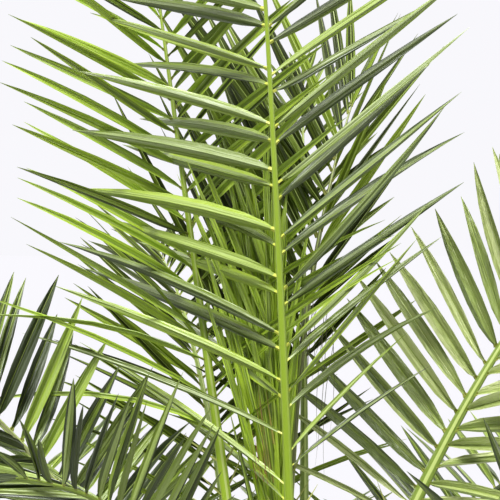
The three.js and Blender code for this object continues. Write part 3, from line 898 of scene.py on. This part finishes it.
def make_stem():
    """The ridged core of the short stem under the stalks. Gives the level of its foot."""
    low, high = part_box("stem")
    foot, height = low[2], high[2] - low[2]
    pattern = tube_pattern(STEM_SIDES, STEM_RINGS)
    z = np.linspace(0, height, STEM_RINGS + 1)[:, None]
    turn = (np.arange(STEM_SIDES) * 2 * math.pi / STEM_SIDES)[None, :]
    lumps = wave_relief(around(1, turn, z / (40 * MM)), 0.5, "stem_ridges")
    radius = stem_radius(z) - CORE_INSET + STEM_LUMP_DEPTH * lumps
    radius = radius + STEM_RIDGE_DEPTH * np.sin(turn * STEM_RIDGES + z / (6 * MM))
    coords = around(radius, turn, z + foot)
    uvs = np.stack([turn * 50 * MM + 0 * z, z + 0 * turn], -1)
    slots = np.zeros((1, len(pattern)), dtype=int)
    piece = join_tubes("stem_core", pattern, coords[None], uvs[None], slots, [dry_husk], 60)
    finish_piece(piece, "stem_core", "stem", "stem")
    return foot


def leaf_base_pattern():
    """One cut leaf base, modelled once: a curved wedge with a slanting cut top. Gives its
    vertices, its faces, and which of these are on the cut. Sizes are in millimetres."""
    clear_selection()
    bpy.ops.mesh.primitive_cube_add(size=1, location=(0, 0, 0.5))
    base = bpy.context.object
    bpy.ops.object.transform_apply(location=True)
    divide_along(base, 2, BASE_CUTS)
    divide_along(base, 0, BASE_CUTS)
    for vertex in base.data.vertices:
        x, y, z = vertex.co
        wide = 34 - 15 * z ** 0.8
        thick = 9 - 3 * z - 10 * x * x
        vertex.co.x = x * wide * MM
        vertex.co.y = (y * thick - 26 * x * x * (1 - 0.5 * z) + 12 * z * z) * MM
        vertex.co.z = (z * 40 - 5 * z * y) * MM
    apply_bevel(base, 1.2 * MM, 50)
    shape = np.array([v.co for v in base.data.vertices])
    faces = [list(p.vertices) for p in base.data.polygons]
    cut = np.array([p.normal.z > 0.8 and p.center.z > 30 * MM for p in base.data.polygons])
    bpy.data.objects.remove(base)
    return shape, faces, cut


def make_leaf_bases(foot):
    """Overlapping rows of cut leaf bases round the stem."""
    shape, faces, cut = leaf_base_pattern()
    rng = draws("leaf_bases")
    copies = []
    for row, (height, count, start) in enumerate(BASE_ROWS):
        for place in range(count):
            turn = math.radians(start + place * 360 / count + rng.uniform(-7, 7))
            scale = rng.uniform(0.85, 1.1) * (1 - 0.06 * row)
            lean = math.radians(BASE_LEAN + rng.uniform(-5, 8))
            x, y, z = (shape * scale).T
            x = x * (0.9 + 0.1 * math.cos(turn))  # narrower on one side of the stem
            y, z = y * math.cos(lean) + z * math.sin(lean), z * math.cos(lean) - y * math.sin(lean)
            reach = stem_radius(np.array(height * MM)) - 4 * MM + y
            copies.append(np.stack([reach * math.cos(turn) - x * math.sin(turn),
                                    reach * math.sin(turn) + x * math.cos(turn),
                                    z + foot + height * MM - 2 * MM], -1))
    all_faces = [[v + number * len(shape) for v in face] for number in range(len(copies))
                 for face in faces]
    piece = new_piece("leaf_bases", np.vstack(copies), all_faces, [dry_husk, cut_face],
                      np.tile(cut, len(copies)))
    make_active(piece)
    edit_mesh("face")
    face_outwards()
    smooth_below(40)
    finish_piece(piece, "leaf_bases", "stem")


# ------------ fibre, spines, threads

STRAND_SIDES, STRAND_RINGS = 3, 6
STRAND_STEPS = np.linspace(0, 1, STRAND_RINGS + 1)
strand_pattern = tube_pattern(STRAND_SIDES, STRAND_RINGS)
FIBRES = 420
SPINES_A_SIDE = 8
SPINE_START, SPINE_END = 0.38, 0.98  # parts of the bare stalk between which the spines stand
SPINE_LENGTH, SPINE_GROWTH = 18, 62  # millimetres at the start, and more along the stalk
THREADS = 12
YOUNG_FIBRES = 14


def make_strands(name, lines, radii, material, slot):
    """Many thin strands as one piece. lines is (strands, rings + 1, 3)."""
    tangent = unit(np.gradient(lines, axis=1))
    side = unit(np.cross(tangent, UP + 0.01))
    up = np.cross(side, tangent)
    turn = np.arange(STRAND_SIDES) * 2 * math.pi / STRAND_SIDES
    taper = np.interp(STRAND_STEPS, (0, 0.6, 1), (1, 0.8, 0.15))
    reach = (radii[:, None] * taper)[..., None, None]
    coords = lines[:, :, None, :] + reach * (
        side[:, :, None, :] * np.cos(turn)[:, None] + up[:, :, None, :] * np.sin(turn)[:, None])
    uvs = np.zeros((*coords.shape[:3], 2))
    slots = np.zeros((len(lines), len(strand_pattern)), dtype=int)
    piece = join_tubes(name, strand_pattern, coords, uvs, slots, [material], 70)
    finish_piece(piece, name, slot)


def make_fibre(foot):
    """Brown fibre wound about the stem between the leaf bases, with loose ends."""
    rng = draws("stem_fibre")
    t = STRAND_STEPS[None, :]
    start = rng.uniform(6, 62, FIBRES)[:, None] * MM
    rise = rng.uniform(18, 46, FIBRES)[:, None] * MM
    above = np.clip(start + rise * t, 0, 100 * MM)
    turn = rng.uniform(0, 2 * math.pi, FIBRES)[:, None]
    turn = turn + rng.normal(0, 0.5, FIBRES)[:, None] * t
    loose = rng.gamma(1.2, 3.0, FIBRES)[:, None] * t ** 2 * MM
    reach = stem_radius(above) + rng.uniform(-1, 5, FIBRES)[:, None] * MM + loose
    lines = around(reach, turn, above + foot)
    lines[..., :2] += rng.normal(0, 0.6, (FIBRES, STRAND_RINGS + 1, 2)) * MM
    radii = rng.uniform(0.25, 0.6, FIBRES) * MM
    make_strands("stem_fibre", lines, radii, brown_fibre, "stem")


def make_spines():
    """Stiff spines in two rows on every stalk, longer towards the lowest leaflets."""
    rng = draws("spines")
    lines, radii = [], []
    t = STRAND_STEPS[:, None]
    for frond in FRONDS:
        if frond.name == "spear":
            continue
        path = frond_path(frond)
        for side in (-1, 1):
            rises = np.linspace(SPINE_START, SPINE_END, SPINES_A_SIDE)
            for rise in rises + rng.uniform(-0.03, 0.03, SPINES_A_SIDE):
                place = np.array([rise * frond.bare])
                along, across, face = (v[0] for v in frond_axes(frond, place))
                half = rib_half_width(frond, place)[0]
                length = SPINE_LENGTH + SPINE_GROWTH * (rise - SPINE_START)
                length = length * rng.uniform(0.75, 1.2) * MM
                angle = math.radians(rng.uniform(38, 58))
                lift = math.radians(rng.uniform(5, 50))
                out = across * side * math.cos(lift) + face * math.sin(lift)
                heading = along * math.cos(angle) + out * math.sin(angle)
                foot = path_points(path, place)[0] + across * side * half * 0.7
                lines.append(foot + heading * length * t + along * 0.1 * length * t ** 2)
                radii.append(rng.uniform(1.1, 1.7) * MM)
    make_strands("stalk_spines", np.array(lines), np.array(radii), spine_skin, "stalk")


def make_threads():
    """Fine threads that split from the leaf edges and hang beside the young frond."""
    rng = draws("threads")
    t = STRAND_STEPS[None, :, None]
    start = np.stack([rng.uniform(0.026, 0.070, THREADS), rng.uniform(-0.02, 0.03, THREADS),
                      rng.uniform(0.80, 0.87, THREADS)], -1)[:, None, :]
    drop = np.stack([rng.uniform(-0.025, 0.000, THREADS), rng.normal(0, 0.008, THREADS),
                     -rng.uniform(0.07, 0.17, THREADS)], -1)[:, None, :]
    curl = rng.normal(0, 0.004, (THREADS, 1, 3)) * np.sin(math.pi * t)
    radii = np.full(THREADS, 0.45 * MM)
    make_strands("leaf_threads", start + drop * t + curl, radii, dry_thread, "young_leaf")


def make_young_fibre():
    """Reddish fibre still clinging to the edge of the young frond's folded leaflets."""
    rng = draws("young_fibre")
    t = STRAND_STEPS[None, :, None]
    start = np.stack([rng.uniform(-0.030, -0.008, YOUNG_FIBRES),
                      rng.uniform(-0.022, -0.008, YOUNG_FIBRES),
                      rng.uniform(0.64, 0.71, YOUNG_FIBRES)], -1)[:, None, :]
    rise = np.stack([rng.normal(-0.006, 0.003, YOUNG_FIBRES),
                     rng.normal(0.002, 0.003, YOUNG_FIBRES),
                     rng.uniform(0.03, 0.07, YOUNG_FIBRES)], -1)[:, None, :]
    radii = rng.uniform(0.3, 0.55, YOUNG_FIBRES) * MM
    make_strands("young_fibre", start + rise * t, radii, red_fibre, "young_leaf")


# ------------ room, light, camera

FLOOR_SIZE = 400
FLOOR_TONE = (0.570, 0.565, 0.584)
BACKDROP = (0.79, 0.785, 0.815)
ROOM_TINT = (0.95, 0.95, 1.0)
ROOM_LIGHT = 0.29
WALL_SHINE = 2.2  # how bright the pale walls are in reflections
WINDOW_LIGHT = 4.1
WINDOW_SIDE, WINDOW_HEIGHT, WINDOW_SPREAD = 252, 60, 26  # degrees
CAMERA_PLACE = (-0.037, -1.5, 0.916)
CAMERA_LENS, CAMERA_SENSOR = 93.2, 36


def make_floor():
    clear_selection()
    bpy.ops.mesh.primitive_plane_add(size=FLOOR_SIZE, location=(0, 0, 0))
    floor = bpy.context.object
    floor.name = "floor"
    matt = plain_material("floor_pale", FLOOR_TONE, 1.0, Specular_IOR_Level=0)
    floor.data.materials.append(matt)


def make_window():
    """Soft light from one side and above, as from a wide window."""
    light = bpy.data.lights.new("window", "SUN")
    light.angle = math.radians(WINDOW_SPREAD)
    light.energy = WINDOW_LIGHT
    lamp = bpy.data.objects.new("window", light)
    turn, rise = math.radians(WINDOW_SIDE), math.radians(WINDOW_HEIGHT)
    toward = Vector((math.cos(turn) * math.cos(rise), math.sin(turn) * math.cos(rise),
                     math.sin(rise)))
    lamp.rotation_euler = (-toward).to_track_quat("-Z", "Y").to_euler()
    bpy.context.scene.collection.objects.link(lamp)


def make_room():
    """A pale room: even light all round, bright walls in reflections, a plain backdrop."""
    world = bpy.data.worlds.new("pale_room")
    bpy.context.scene.world = world
    world.use_nodes = True
    nodes = world.node_tree.nodes
    room = set_values(nodes["Background"], Color=(*ROOM_TINT, 1), Strength=ROOM_LIGHT)
    walls = add_node(world, "Background", Color=(1.0, 1.0, 1.0, 1), Strength=WALL_SHINE)
    backdrop = add_node(world, "Background", Color=(*BACKDROP, 1))
    path = add_node(world, "LightPath")
    shiny = add_node(world, "MixShader")
    seen = add_node(world, "MixShader")
    join_nodes(world, (path, "Is Glossy Ray", shiny, 0), (room, 0, shiny, 1),
               (walls, 0, shiny, 2), (path, "Is Camera Ray", seen, 0), (shiny, 0, seen, 1),
               (backdrop, 0, seen, 2), (seen, 0, nodes["World Output"], "Surface"))


def make_camera():
    camera = bpy.data.cameras.new("camera")
    camera.sensor_width = CAMERA_SENSOR
    camera.lens = CAMERA_LENS
    view = bpy.data.objects.new("camera", camera)
    view.location = CAMERA_PLACE
    view.rotation_euler = (math.radians(90), 0, 0)
    bpy.context.scene.collection.objects.link(view)
    bpy.context.scene.camera = view


# ------------ the whole plant

for number, frond in enumerate(FRONDS):
    make_rib(frond)
    dress_frond(number, frond)
make_pot()
soil_radius, soil_top = make_soil()
make_soil_grains(soil_radius, soil_top)
stem_foot = make_stem()
make_leaf_bases(stem_foot)
make_fibre(stem_foot)
make_spines()
make_threads()
make_young_fibre()

make_floor()
make_room()
make_window()
make_camera()
bpy.context.scene.view_settings.view_transform = "Standard"
bpy.context.scene.view_settings.look = "Medium High Contrast"
